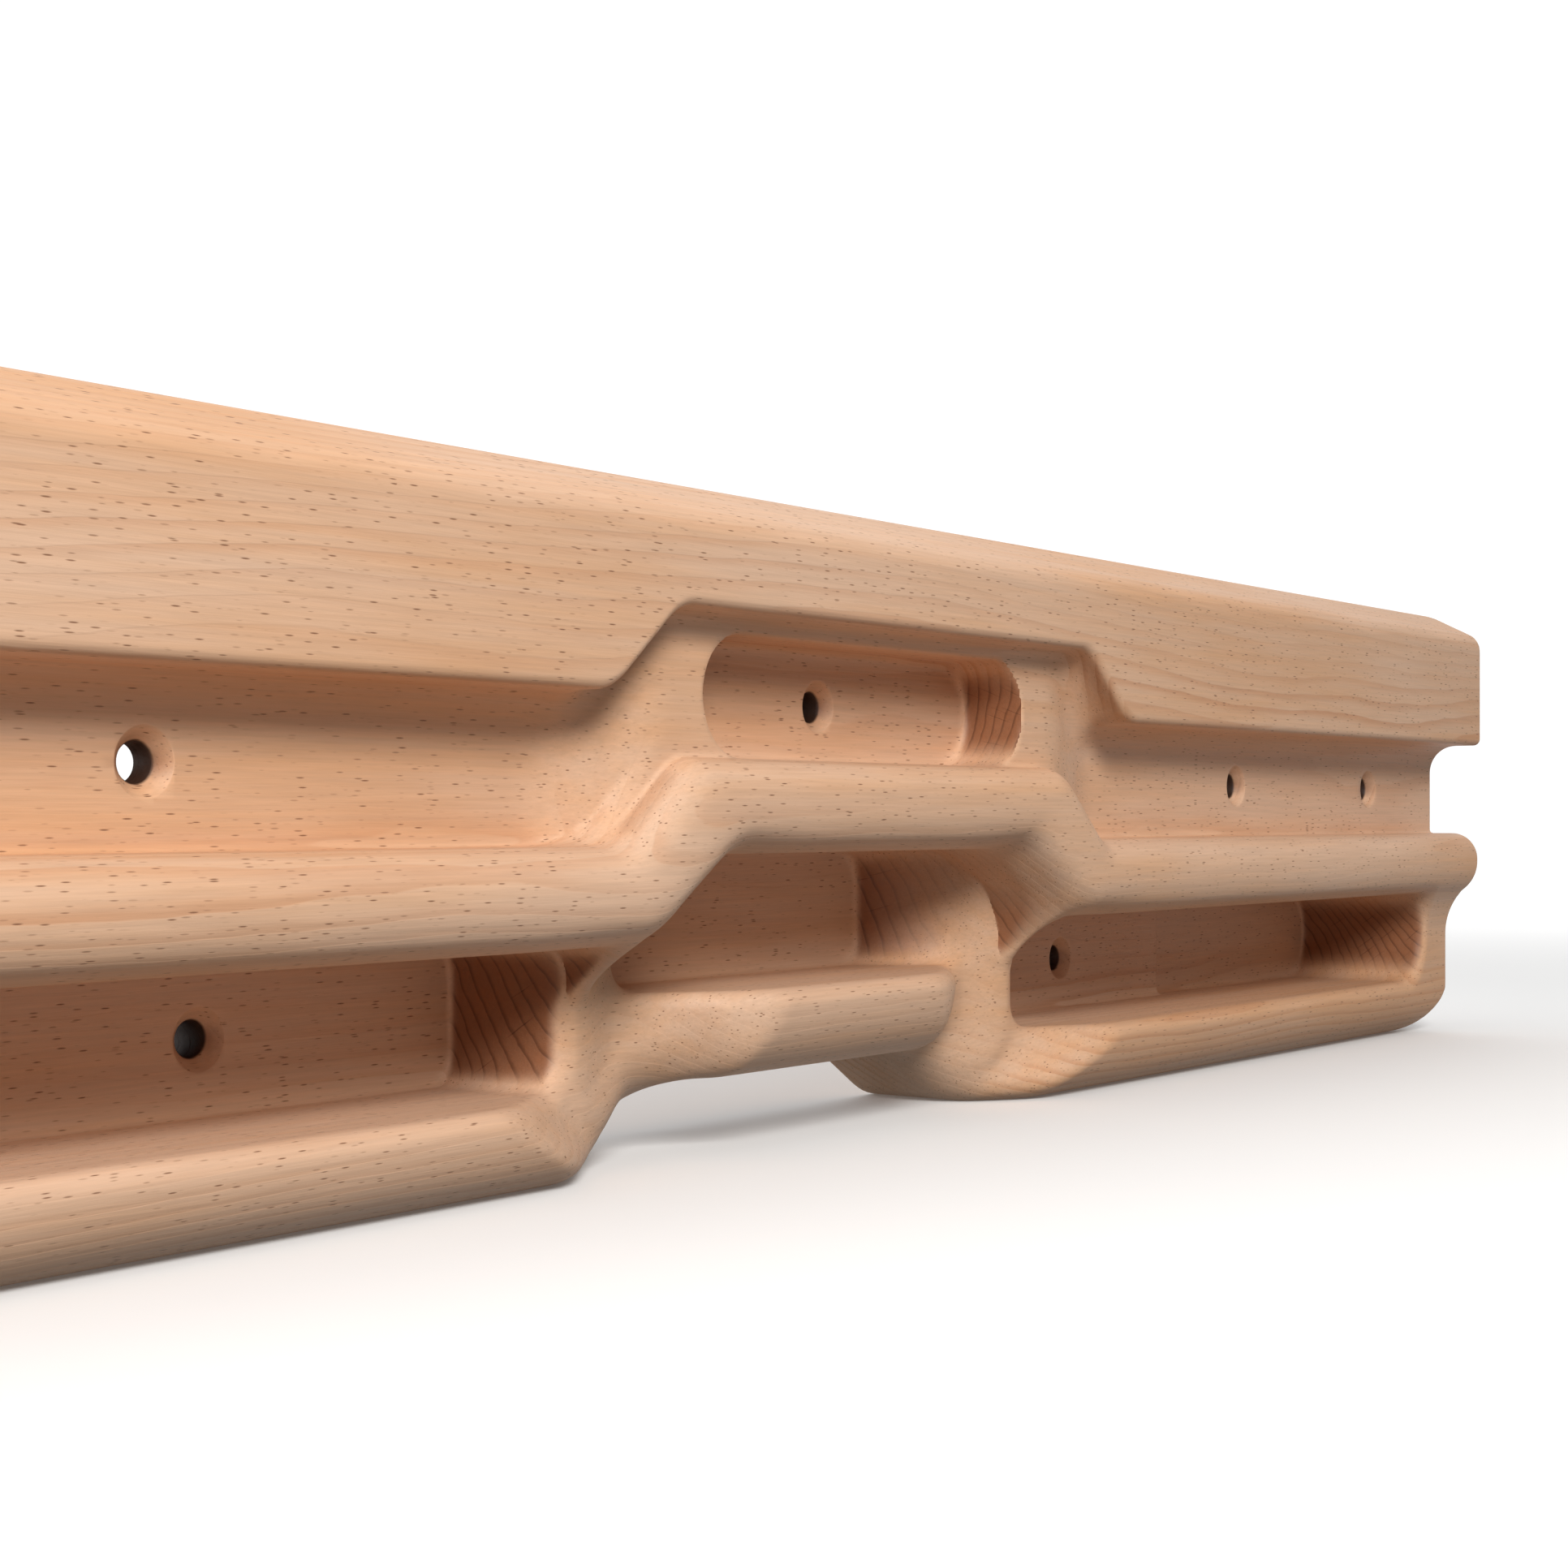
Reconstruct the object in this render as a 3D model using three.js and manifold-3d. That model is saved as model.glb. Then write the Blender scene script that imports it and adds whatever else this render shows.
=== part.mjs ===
// A climbing hangboard milled from one beech plank. It stands on two feet beside an arched gap.
// Units are millimetres. X runs along the board, -Y is the climber's side and Z is up.
// The origin is the middle of the board's footprint, on the plane that it rests on.
import * as THREE from "three";
import { mergeVertices } from "three/addons/utils/BufferGeometryUtils.js";
import Module from "manifold-3d";

// The plank
const boardWidth = 650;
const boardHeight = 131;
const boardDepth = 60;
const backEdgeRadius = 1.5;

// Rounded ends, as seen from the front, and the edge between each end and the front face
const endTopRadius = 11;
const endBottomRadius = 19;
const endEdgeRadius = 2;

// The sloping crown along the top front edge
const crownDepth = 14.2;
const crownFall = 8;
const crownBackRadius = 10;
const crownFrontRadius = 6;

// The long channel under the crown, deep in the wings and shallow at the middle
const channelTop = 90;
const channelBottom = 62.5;
const channelWingDepth = 16.3;
const channelMiddleDepth = 9;
const channelRampEnd = 105;
const channelRampLength = 37.5;
const channelLipRadius = 2;
const channelTopRadius = 8.5;
const channelMiddleTopRadius = 5;
const channelBottomRadius = 1.2;

// The ridge under the channel, and the lower band with its rounded foot
const ridgeSetback = 0.8;
const ridgeTopRadius = 8;
const ridgeUndersideStart = 48.5;
const ridgeUndersideRadius = 11;
const ridgeCreaseDepth = 5.9;
const ridgeCreaseHeight = 44.3;
const ridgeCreaseRadius = 0.8;
const bandSetback = 11.2;
const bandTop = 37.6;
const bandTopRadius = 20;
const footRadius = 15;

// The arch: everything below the crown steps up along two leaning ramps, a little less at the floor.
// Between the pockets' top and the channel's ledge the ramps move outward, lean more and get shorter.
const archRise = 16.4;
const archFloorRise = 15.4;
const archRampMiddle = 56;
const archRampLowLean = 0.21;
const archRampLean = 0.25;
const archRampShift = 6.5;
const archRampFloorLength = 35;
const archRampLength = 27.2;
const archRampEaseShare = 0.3;
const archFadeTop = 119;
const archFadeHeight = 26;

// The webs between the lower pockets are scooped back behind the band, and a little more by the arch.
// The scoop fades out under the ridge, and at the floor it is shorter.
const webDepth = 24.5;
const scoopStart = 26;
const scoopFull = 64;
const scoopEnd = 112;
const scoopEndRun = 33;
const scoopFloorStart = 34;
const scoopFloorFull = 54;
const scoopFloorEnd = 88;
const scoopFloorEndRun = 27;
const scoopTop = 50;
const scoopFadeHeight = 20;
const hollowDepth = 3.5;
const hollowStart = 40;
const hollowFull = 58;
const hollowEnd = 78;
const hollowFloorEnd = 66;
const hollowEndRun = 16;

// The finger pocket at the middle
const fingerPocketWidth = 117;
const fingerPocketHeight = 24;
const fingerPocketMiddle = 91;
const fingerPocketFloor = 24.4;

// The three lower pockets, in heights before the arch lifts them
const lowerPocketBottom = 17;
const lowerPocketTop = 44.2;
const middlePocketBottomRadius = 6.5;
const middlePocketTopRadius = 9;
const wingPocketInnerRadius = 6.5;
const wingPocketOuterRadius = 13.5;
const flareOpeningSlope = 0.2;
const middlePocketHalfWidth = 47.8;
const middlePocketFloor = 47.8;
const middleFlareWidth = 26;
const middleFlareDepth = 24;
const middleFlareRoundness = 1.5;
const wingPocketInnerEnd = 85;
const wingPocketEndMargin = 19.4;
const wingPocketOuterEnd = boardWidth / 2 - wingPocketEndMargin;
const wingPocketFloor = 49.2;
const wingPocketStepPlace = 201.6;
const wingPocketStep = 2.4;
const wingFlareWidth = 4.5;
const wingFlareDepth = 24.5;
const wingFlareRoundness = 2;

// Countersunk screw holes: distance from the middle, and height
const screwBoreRadius = 3.1;
const screwHeadRadius = 5.5;
const middleScrewHeight = fingerPocketMiddle;
const channelScrewHeight = 76;
const channelScrewInner = 184;
const channelScrewEndMargin = 51;
const channelScrewOuter = boardWidth / 2 - channelScrewEndMargin;
const pocketScrewHeight = 30;
const pocketScrewPlace = 146;

// The shallow relief in the back, behind each wing's channel
const reliefMiddle = 230;
const reliefWidth = 168;
const reliefHeight = 26;
const reliefCornerRadius = 9;
const reliefFloor = 22.8;

// Mesh fineness and the overrun of every cut
const cornerSteps = 3;
const pocketCornerSteps = 4;
const flareSteps = 4;
const rampSteps = 19;
const middleBendSpacing = 4.5;
const wingBendSpacing = 27;
const roundedEdgeShare = 0.98;
const screwSides = 16;
const overrun = 2;

const wasm = await Module();
wasm.setup();

// Eases from 0 to 1 with a straight middle and a parabola at each end.
function easeRamp(t) {
  const x = THREE.MathUtils.clamp(t, 0, 1);
  const e = archRampEaseShare;
  const slope = 1 / (1 - e);
  if (x < e) return (slope * x * x) / (2 * e);
  if (x > 1 - e) return 1 - (slope * (1 - x) ** 2) / (2 * e);
  return slope * (x - e / 2);
}

// Lift of a point at height z before the arch, at the distance x from the middle.
function archLift(x, z) {
  const { lerp, clamp, smoothstep } = THREE.MathUtils;
  const ridgeShare = smoothstep(z, lowerPocketTop, channelBottom);
  const lean = lerp(archRampLowLean, archRampLean, ridgeShare);
  const middle = archRampMiddle + lean * z + archRampShift * ridgeShare;
  const length = lerp(archRampFloorLength, archRampLength, ridgeShare);
  const rise = lerp(archFloorRise, archRise, clamp(z / lowerPocketBottom, 0, 1));
  const fade = clamp((archFadeTop - z) / archFadeHeight, 0, 1);
  return rise * fade * easeRamp((middle + length / 2 - Math.abs(x)) / length);
}

// How far the front is scooped back at the distance x from the middle and the height z before the arch.
function scoopAt(x, z) {
  const { lerp, smoothstep } = THREE.MathUtils;
  const place = Math.abs(x);
  const up = smoothstep(z, 0, lowerPocketBottom);
  const start = lerp(scoopFloorStart, scoopStart, up);
  const full = lerp(scoopFloorFull, scoopFull, up);
  const end = lerp(scoopFloorEnd, scoopEnd, up);
  const inner = smoothstep(place, start, full);
  const outer = smoothstep(end - place, 0, lerp(scoopFloorEndRun, scoopEndRun, up));
  const deepEnd = lerp(hollowFloorEnd, hollowEnd, up);
  const hollow = smoothstep(place, hollowStart, hollowFull) * smoothstep(deepEnd - place, 0, hollowEndRun);
  const underRidge = smoothstep(scoopTop - z, 0, scoopFadeHeight);
  return ((webDepth - bandSetback) * Math.min(inner, outer) + hollowDepth * hollow) * underRidge;
}

// A closed outline from corners [across, up, radius], each rounded by a tangent arc.
// Where two neighbouring arcs would meet, both are drawn in so that they just fit the edge.
function roundedOutline(corners, steps) {
  const count = corners.length;
  const turns = corners.map(([across, up, radius], i) => {
    const corner = new THREE.Vector2(across, up);
    const before = new THREE.Vector2(...corners.at(i - 1)).sub(corner);
    const after = new THREE.Vector2(...corners[(i + 1) % count]).sub(corner);
    const edge = after.length();
    const back = before.normalize();
    const ahead = after.normalize();
    const halfAngle = Math.acos(THREE.MathUtils.clamp(back.dot(ahead), -1, 1)) / 2;
    return { corner, back, ahead, halfAngle, edge, reach: radius / Math.tan(halfAngle) };
  });
  const fits = turns.map((turn, i) => {
    const next = turns[(i + 1) % count];
    return Math.min(1, (roundedEdgeShare * turn.edge) / (turn.reach + next.reach));
  });
  return turns.flatMap(({ corner, back, ahead, halfAngle, reach }, i) => {
    const fitted = reach * Math.min(fits[i], fits.at(i - 1));
    const inward = back.clone().add(ahead).normalize();
    const centre = corner.clone().addScaledVector(inward, fitted / Math.cos(halfAngle));
    const from = corner.clone().addScaledVector(back, fitted).sub(centre);
    const to = corner.clone().addScaledVector(ahead, fitted).sub(centre);
    const turn = Math.atan2(from.cross(to), from.dot(to));
    return Array.from({ length: steps + 1 }, (_, s) =>
      from.clone().rotateAround(new THREE.Vector2(), (turn * s) / steps).add(centre),
    );
  });
}

// The board's section in depth and height, for a place where the channel has this depth.
function boardSection(middleShare) {
  const channelDepth = THREE.MathUtils.lerp(channelWingDepth, channelMiddleDepth, middleShare);
  const topRadius = THREE.MathUtils.lerp(channelTopRadius, channelMiddleTopRadius, middleShare);
  return roundedOutline(
    [
      [boardDepth, 0, backEdgeRadius],
      [boardDepth, boardHeight, backEdgeRadius],
      [crownDepth, boardHeight, crownBackRadius],
      [0, boardHeight - crownFall, crownFrontRadius],
      [0, channelTop, channelLipRadius],
      [channelDepth, channelTop, topRadius],
      [channelDepth, channelBottom, channelBottomRadius],
      [ridgeSetback, channelBottom, ridgeTopRadius],
      [ridgeSetback, ridgeUndersideStart, ridgeUndersideRadius],
      [ridgeCreaseDepth, ridgeCreaseHeight, ridgeCreaseRadius],
      [bandSetback, bandTop, bandTopRadius],
      [bandSetback, 0, footRadius],
    ],
    cornerSteps,
  );
}

// Places along X where the section is drawn: close together only where the arch ramps and scoops run.
function stations() {
  const half = [];
  for (let s = 0; s <= rampSteps; s++) {
    half.push(THREE.MathUtils.lerp(scoopStart, scoopEnd, s / rampSteps));
  }
  half.push(boardWidth / 2);
  return [...half.map((x) => -x).reverse(), ...half];
}

// A solid between rings of equally many points, closed with a flat cap at each end.
function loft(rings, cap) {
  const count = rings[0].length;
  const positions = rings.flat().flatMap((p) => [p.x, p.y, p.z]);
  const index = [];
  for (let r = 0; r + 1 < rings.length; r++) {
    for (let i = 0; i < count; i++) {
      const a = r * count + i;
      const b = r * count + ((i + 1) % count);
      index.push(a, b, a + count, b, b + count, a + count);
    }
  }
  const last = (rings.length - 1) * count;
  for (const [a, b, c] of THREE.ShapeUtils.triangulateShape(cap, [])) {
    index.push(a, c, b, last + a, last + b, last + c);
  }
  const geometry = new THREE.BufferGeometry();
  geometry.setAttribute("position", new THREE.Float32BufferAttribute(positions, 3));
  geometry.setIndex(index);
  return geometry;
}

// A closed geometry as a solid, turned right side out.
function solidFrom(geometry) {
  geometry.deleteAttribute("normal");
  geometry.deleteAttribute("uv");
  const merged = mergeVertices(geometry);
  const triVerts = new Uint32Array(merged.index.array);
  const vertProperties = new Float32Array(merged.attributes.position.array);
  const solid = new wasm.Manifold(new wasm.Mesh({ numProp: 3, vertProperties, triVerts }));
  if (solid.volume() > 0) return solid;
  triVerts.reverse();
  return new wasm.Manifold(new wasm.Mesh({ numProp: 3, vertProperties, triVerts }));
}

// The milled blank: the section swept along the board and lifted by the arch.
function sweptBody() {
  const rings = stations().map((x) => {
    const middleShare = easeRamp((channelRampEnd - Math.abs(x)) / channelRampLength);
    return boardSection(middleShare).map((p) => {
      const onFront = p.x < boardDepth / 2;
      const setback = onFront ? scoopAt(x, p.y) : 0;
      return new THREE.Vector3(x, p.x + setback, p.y + archLift(x, p.y));
    });
  });
  return solidFrom(loft(rings, boardSection(0)));
}

// A rounded rectangle as seen from the front, with its own radius at the top and the bottom.
function frontOutline(left, right, bottom, top, bottomRadius, topRadius, steps) {
  return roundedOutline(
    [
      [left, bottom, bottomRadius],
      [right, bottom, bottomRadius],
      [right, top, topRadius],
      [left, top, topRadius],
    ],
    steps,
  );
}

// The front view's rounded rectangle with softened front edges, which trims the blank's ends.
function endTrim() {
  const outline = frontOutline(
    endEdgeRadius - boardWidth / 2,
    boardWidth / 2 - endEdgeRadius,
    endEdgeRadius,
    boardHeight - endEdgeRadius,
    endBottomRadius - endEdgeRadius,
    endTopRadius - endEdgeRadius,
    cornerSteps,
  );
  const geometry = new THREE.ExtrudeGeometry(new THREE.Shape(outline), {
    depth: boardDepth,
    bevelThickness: endEdgeRadius,
    bevelSize: endEdgeRadius,
    bevelSegments: cornerSteps,
  });
  // The drawing's height turns up from the extrusion's axis, which turns back into the board.
  geometry.applyMatrix4(new THREE.Matrix4().makeBasis(
    new THREE.Vector3(1, 0, 0),
    new THREE.Vector3(0, 0, 1),
    new THREE.Vector3(0, 1, 0),
  ));
  geometry.translate(0, endEdgeRadius, 0);
  return solidFrom(geometry);
}

// The shape of stacked front outlines [depth, points], each point raised by its own lift.
function stacked(layers, liftOf = () => 0) {
  const rings = layers.map(([depth, points]) =>
    points.map((p) => new THREE.Vector3(p.x, depth, p.y + liftOf(p))),
  );
  return loft(rings, layers[0][1]);
}

// How far a flared end stands out from its floor width at a depth. Roundness 2 is an ellipse.
function flareAt(depth, flareWidth, flareDepth, roundness) {
  const t = THREE.MathUtils.clamp((webDepth + flareDepth - depth) / flareDepth, 0, 1);
  const opening = flareOpeningSlope * Math.max(webDepth - depth, 0);
  return flareWidth * (1 - (1 - t ** roundness) ** (1 / roundness)) + opening;
}

// Depths where a flared pocket's outline is drawn, from in front of the board to its floor.
function flareDepths(floor, flareDepth) {
  const depths = [-overrun, webDepth];
  for (let s = 1; s < flareSteps; s++) {
    depths.push(webDepth + flareDepth * (1 - Math.cos((s / flareSteps) * (Math.PI / 2))));
  }
  return [...depths.filter((d) => d < floor), floor];
}

// Puts evenly spaced points on an outline's long straight runs, so that the arch can bend them.
function refined(points, spacing) {
  return points.flatMap((p, i) => {
    const next = points[(i + 1) % points.length];
    const pieces = Math.max(1, Math.ceil(p.distanceTo(next) / spacing));
    return Array.from({ length: pieces }, (_, s) => p.clone().lerp(next, s / pieces));
  });
}

// The middle pocket's lower wall stays level, and its upper wall follows the arch.
function middlePocketLift(p) {
  const upShare = (p.y - lowerPocketBottom) / (lowerPocketTop - lowerPocketBottom);
  return THREE.MathUtils.lerp(archRise, archLift(p.x, p.y), THREE.MathUtils.smoothstep(upShare, 0, 1));
}

function middlePocket() {
  const half = middlePocketHalfWidth;
  const outline = refined(
    frontOutline(
      -half,
      half,
      lowerPocketBottom,
      lowerPocketTop,
      middlePocketBottomRadius,
      middlePocketTopRadius,
      pocketCornerSteps,
    ),
    middleBendSpacing,
  );
  const layers = flareDepths(middlePocketFloor, middleFlareDepth).map((depth) => {
    const flare = flareAt(depth, middleFlareWidth, middleFlareDepth, middleFlareRoundness);
    const moved = outline.map((p) => {
      const endShare = THREE.MathUtils.clamp(Math.abs(p.x) / (half - middlePocketTopRadius), 0, 1);
      return new THREE.Vector2(p.x + Math.sign(p.x) * flare * endShare, p.y);
    });
    return [depth, moved];
  });
  return stacked(layers, middlePocketLift);
}

// The front outline of the right wing's pocket from an inner end to its outer end.
function wingOutline(innerEnd) {
  const middle = (innerEnd + wingPocketOuterEnd) / 2;
  const tight = frontOutline(
    innerEnd,
    wingPocketOuterEnd,
    lowerPocketBottom,
    lowerPocketTop,
    wingPocketInnerRadius,
    wingPocketInnerRadius,
    pocketCornerSteps,
  );
  const round = frontOutline(
    innerEnd,
    wingPocketOuterEnd,
    lowerPocketBottom,
    lowerPocketTop,
    wingPocketOuterRadius,
    wingPocketOuterRadius,
    pocketCornerSteps,
  );
  return tight.map((p, i) => (p.x < middle ? p : round[i]));
}

// The pocket of the right wing, which the left wing mirrors.
function wingPocket() {
  const width = wingPocketOuterEnd - wingPocketInnerEnd;
  const outline = refined(wingOutline(wingPocketInnerEnd), wingBendSpacing);
  const layers = flareDepths(wingPocketFloor, wingFlareDepth).map((depth) => {
    const flare = flareAt(depth, wingFlareWidth, wingFlareDepth, wingFlareRoundness);
    const moved = outline.map((p) => {
      const innerShare = (wingPocketOuterEnd - p.x) / width;
      return new THREE.Vector2(p.x - flare * innerShare, p.y);
    });
    return [depth, moved];
  });
  return stacked(layers, (p) => archLift(p.x, p.y));
}

// The outer length of a wing pocket is milled a little deeper.
function wingPocketStepCut() {
  const outline = wingOutline(wingPocketStepPlace);
  return stacked([
    [wingPocketFloor - overrun, outline],
    [wingPocketFloor + wingPocketStep, outline],
  ]);
}

function fingerPocket() {
  const outline = frontOutline(
    -fingerPocketWidth / 2,
    fingerPocketWidth / 2,
    fingerPocketMiddle - fingerPocketHeight / 2,
    fingerPocketMiddle + fingerPocketHeight / 2,
    fingerPocketHeight / 2,
    fingerPocketHeight / 2,
    pocketCornerSteps,
  );
  return stacked([
    [-overrun, outline],
    [fingerPocketFloor, outline],
  ]);
}

// A bore through to the back with a countersink in the floor that it starts from.
function screwHole(x, z, floor) {
  const sink = screwHeadRadius - screwBoreRadius;
  const profile = [
    new THREE.Vector2(0, -overrun),
    new THREE.Vector2(screwHeadRadius + overrun, -overrun),
    new THREE.Vector2(screwBoreRadius, sink),
    new THREE.Vector2(screwBoreRadius, boardDepth - floor + overrun),
    new THREE.Vector2(0, boardDepth - floor + overrun),
  ];
  const geometry = new THREE.LatheGeometry(profile, screwSides);
  return geometry.translate(x, floor, z);
}

// The relief behind the right wing's channel, which the left wing mirrors.
function backRelief() {
  const outline = frontOutline(
    reliefMiddle - reliefWidth / 2,
    reliefMiddle + reliefWidth / 2,
    channelScrewHeight - reliefHeight / 2,
    channelScrewHeight + reliefHeight / 2,
    reliefCornerRadius,
    reliefCornerRadius,
    cornerSteps,
  );
  return stacked([
    [reliefFloor, outline],
    [boardDepth + overrun, outline],
  ]);
}

// Everything milled into the right wing, which the left wing mirrors.
function wingCuts() {
  return [
    wingPocket(),
    wingPocketStepCut(),
    backRelief(),
    screwHole(channelScrewInner, channelScrewHeight, channelWingDepth),
    screwHole(channelScrewOuter, channelScrewHeight, channelWingDepth),
    screwHole(pocketScrewPlace, pocketScrewHeight, wingPocketFloor),
  ];
}

function boardGeometry() {
  const cuts = [
    middlePocket(),
    fingerPocket(),
    screwHole(0, middleScrewHeight, fingerPocketFloor),
    ...wingCuts(),
    ...wingCuts().map((cut) => cut.scale(-1, 1, 1)),
  ];
  const blank = sweptBody().intersect(endTrim());
  const milled = cuts.reduce((solid, cut) => solid.subtract(solidFrom(cut)), blank);
  const mesh = milled.getMesh();
  const geometry = new THREE.BufferGeometry();
  geometry.setAttribute("position", new THREE.BufferAttribute(mesh.vertProperties, mesh.numProp));
  geometry.setIndex(new THREE.BufferAttribute(mesh.triVerts, 1));
  return geometry;
}

const beech = new THREE.MeshStandardMaterial({ color: 0xe1b491, roughness: 0.62, metalness: 0 });
const board = new THREE.Mesh(boardGeometry(), beech);
board.name = "board";
board.position.y = -boardDepth / 2;

const hangboard = new THREE.Group();
hangboard.add(board);
export default hangboard;
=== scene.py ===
"""Beech hangboard: one milled plank with a channel, pockets, screw holes and an arched foot."""

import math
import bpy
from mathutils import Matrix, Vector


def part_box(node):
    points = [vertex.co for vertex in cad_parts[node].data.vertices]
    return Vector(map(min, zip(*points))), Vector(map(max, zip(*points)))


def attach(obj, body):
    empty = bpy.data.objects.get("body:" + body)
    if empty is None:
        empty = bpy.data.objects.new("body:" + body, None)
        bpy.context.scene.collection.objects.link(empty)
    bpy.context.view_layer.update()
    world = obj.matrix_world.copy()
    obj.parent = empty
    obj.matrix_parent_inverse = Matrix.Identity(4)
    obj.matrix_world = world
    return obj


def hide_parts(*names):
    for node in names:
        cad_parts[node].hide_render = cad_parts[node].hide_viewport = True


bl_info = {
    "name": "Beech Hangboard",
    "version": (1, 0, 0),
    "blender": (4, 5, 0),
    "location": "View3D > Sidebar > Hangboard",
    "description": "Mills a beech hangboard around its packed CAD frame and sets a pale studio for it",
    "category": "Add Mesh",
}

from types import SimpleNamespace

import bmesh
import bpy
import numpy as np
from bpy.props import FloatProperty, FloatVectorProperty, PointerProperty
from mathutils import Vector

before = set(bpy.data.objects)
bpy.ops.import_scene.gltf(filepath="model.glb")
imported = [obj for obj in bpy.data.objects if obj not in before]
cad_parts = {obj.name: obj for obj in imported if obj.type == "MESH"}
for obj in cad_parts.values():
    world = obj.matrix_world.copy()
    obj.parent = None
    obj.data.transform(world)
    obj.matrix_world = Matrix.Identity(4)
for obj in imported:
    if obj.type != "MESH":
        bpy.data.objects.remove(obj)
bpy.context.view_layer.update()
BOARD_LOW, BOARD_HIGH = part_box("board")

MM = 0.001
PHOTO_SIDE = 1932


# Sizes and colours


def length(name, description, default):
    """A size in metres."""
    return FloatProperty(name=name, description=description, default=default, unit="LENGTH")


def colour(name, description, default):
    """A colour as linear red, green and blue."""
    return FloatVectorProperty(name=name, description=description, size=3, subtype="COLOR", default=default)


class HANGBOARD_PG_plank(bpy.types.PropertyGroup):
    """The milled plank: its section, its ends and the arch that lifts its middle"""

    width: length("Width", "Length of the board", BOARD_HIGH.x - BOARD_LOW.x)
    depth: length("Depth", "Thickness of the plank", BOARD_HIGH.y - BOARD_LOW.y)
    height: length("Height", "Height of the board", BOARD_HIGH.z - BOARD_LOW.z)
    back_edge: length("Back edge", "Radius of the edges at the back", 0.0015)
    end_top: length("End top corner", "Radius of the ends' upper corners", 0.010)
    end_bottom: length("End bottom corner", "Radius of the ends' lower corners", 0.019)
    end_edge: length("End edge", "Radius between the ends and the front", 0.0018)
    crown_depth: length("Crown depth", "How far back the sloping crown reaches", 0.0142)
    crown_fall: length("Crown fall", "How far the crown slopes down", 0.008)
    crown_back: length("Crown back radius", "Rounding where the crown starts", 0.010)
    crown_front: length("Crown front radius", "Rounding where the crown meets the front", 0.006)
    channel_top: length("Channel top", "Height of the lip over the channel", 0.090)
    channel_bottom: length("Channel bottom", "Height of the channel's ledge", 0.0625)
    channel_wing: length("Channel depth, wings", "Depth of the channel in the wings", 0.0163)
    channel_middle: length("Channel depth, middle", "Depth of the channel at the middle", 0.009)
    channel_ramp_end: length("Channel ramp end", "Where the channel reaches its full depth", 0.105)
    channel_ramp: length("Channel ramp", "Length over which the channel deepens", 0.0375)
    channel_lip: length("Channel lip radius", "Rounding of the lip over the channel", 0.002)
    channel_cove: length("Channel cove", "Radius under the lip in the wings", 0.0085)
    channel_cove_middle: length("Channel cove, middle", "Radius under the lip at the middle", 0.005)
    channel_corner: length("Channel corner", "Radius along the channel's ledge", 0.0012)
    ridge_setback: length("Ridge setback", "Setback of the ridge under the channel", 0.0008)
    ridge_top: length("Ridge top radius", "Rounding along the ridge's upper edge", 0.008)
    ridge_under: length("Ridge underside", "Height where the ridge's underside starts", 0.0485)
    ridge_under_radius: length("Ridge underside radius", "Rounding of the ridge's lower edge", 0.011)
    crease_depth: length("Crease depth", "Depth of the crease under the ridge", 0.0059)
    crease_height: length("Crease height", "Height of the crease under the ridge", 0.0443)
    crease_radius: length("Crease radius", "Rounding of the crease under the ridge", 0.0008)
    band_setback: length("Band setback", "Setback of the lower band", 0.0112)
    band_top: length("Band top", "Height where the band's face starts", 0.0376)
    band_top_radius: length("Band top radius", "Hollow between the ridge and the band", 0.020)
    foot: length("Foot radius", "Rounding along the bottom front edge", 0.015)
    arch_rise: length("Arch rise", "How far the middle is lifted", 0.0164)
    arch_floor_rise: length("Arch rise at the floor", "How high the arch stands over the floor", 0.0154)
    arch_ramp_middle: length("Arch ramp place", "Middle of the arch's ramp at the floor", 0.056)
    arch_ramp_low_lean: FloatProperty(
        name="Arch ramp low lean", description="How far the ramp moves outward with height below the ridge",
        default=0.21,
    )
    arch_ramp_lean: FloatProperty(
        name="Arch ramp lean", description="How far it moves outward with height above that", default=0.25
    )
    arch_ramp_shift: length("Arch ramp shift", "How far the ramp moves outward along the ridge", 0.0065)
    arch_floor_ramp: length(
        "Arch ramp length at the floor", "Length of the arch's ramp at the floor", 0.035
    )
    arch_ramp: length("Arch ramp length", "Length of the arch's ramp from the pockets' top up", 0.0272)
    web_depth: length("Web depth", "Depth of the webs between the lower pockets", 0.0245)
    scoop_start: length("Scoop start", "Where the webs' scoop starts near the middle", 0.026)
    scoop_full: length("Scoop full", "Where the scoop reaches its depth", 0.064)
    scoop_end: length("Scoop end", "Where the scoop ends above the foot", 0.112)
    scoop_end_run: length("Scoop run", "Length over which the scoop ends", 0.033)
    scoop_floor_start: length("Scoop start at the floor", "Where the scoop starts at the floor", 0.034)
    scoop_floor_full: length("Scoop full at the floor", "Where it reaches its depth at the floor", 0.054)
    scoop_floor_end: length("Scoop end at the floor", "Where the scoop ends at the floor", 0.088)
    scoop_floor_end_run: length("Scoop run at the floor", "Length over which it ends at the floor", 0.027)
    scoop_top: length("Scoop top", "Height where the scoop starts under the ridge", 0.050)
    scoop_fade: length("Scoop fade", "Height over which the scoop reaches its depth", 0.020)
    hollow_depth: length("Hollow depth", "How much deeper the scoop is by the arch", 0.0035)
    hollow_start: length("Hollow start", "Where that hollow starts near the middle", 0.040)
    hollow_full: length("Hollow full", "Where that hollow reaches its depth", 0.058)
    hollow_end: length("Hollow end", "Where that hollow ends", 0.078)
    hollow_floor_end: length("Hollow end at the floor", "Where that hollow ends at the floor", 0.066)
    hollow_end_run: length("Hollow run", "Length over which that hollow ends", 0.016)


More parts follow.
